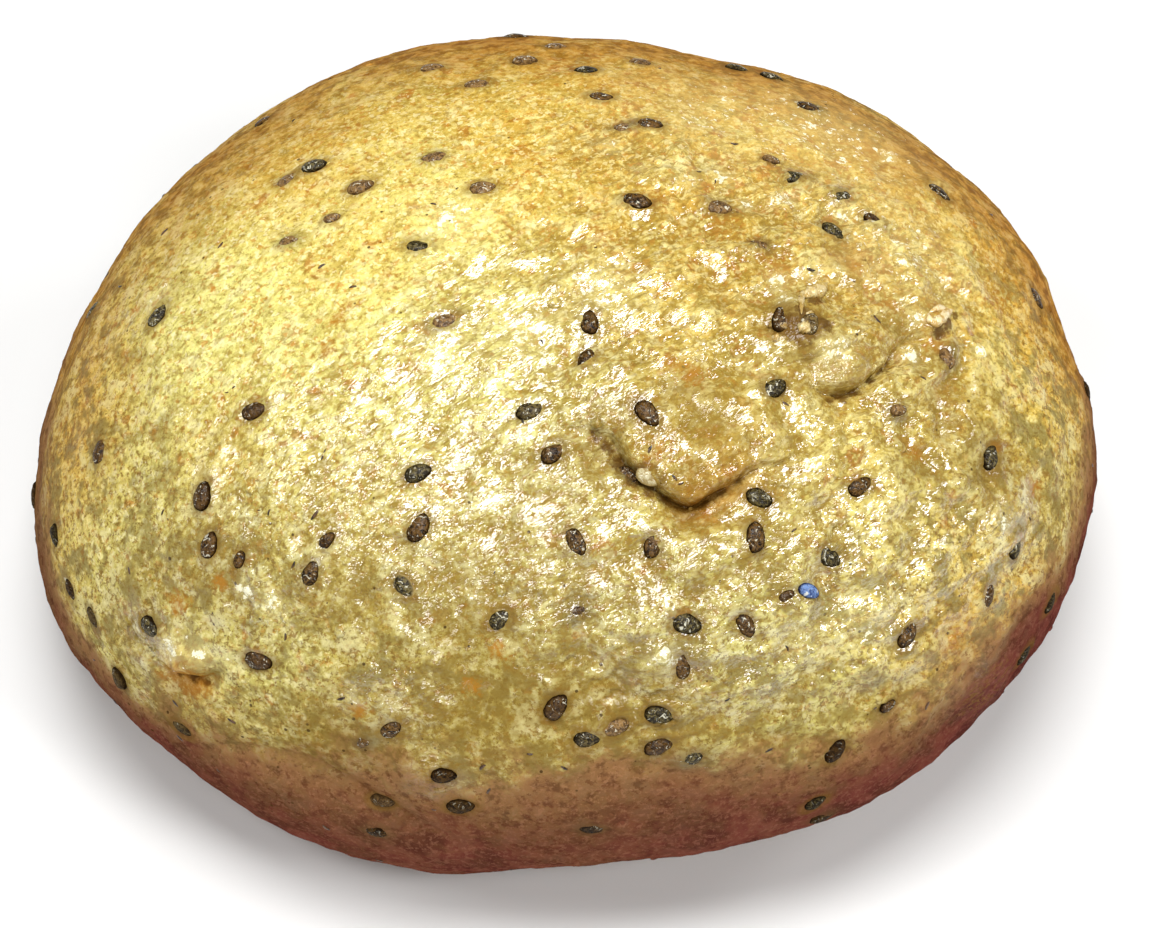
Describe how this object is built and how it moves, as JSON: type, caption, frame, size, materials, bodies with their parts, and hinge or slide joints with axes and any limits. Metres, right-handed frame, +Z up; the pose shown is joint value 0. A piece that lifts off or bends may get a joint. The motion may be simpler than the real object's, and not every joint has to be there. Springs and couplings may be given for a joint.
{
  "type": "chia seed roll",
  "caption": "Small oval baked roll with a lumpy, folded dome, a flat underside and chia seeds set in its glossy crust.",
  "frame": {"origin": "under the middle of the roll's bounding box, on the surface that it stands on", "axes": "+X along the roll's long side, to the right in the picture; +Z up; the side that the picture shows faces -Y"},
  "size_m": [0.0796, 0.0673, 0.0403],
  "materials": {
    "crust": "golden yellow baked crust, browner below, with a greasy, finely wrinkled gloss",
    "chia": "mottled dark brown seed coat, satin to glossy",
    "pale_chia": "cream seed coat with fine mottling, satin"
  },
  "bodies": {
    "root": {"roll": "crust"}
  },
  "joints": []
}
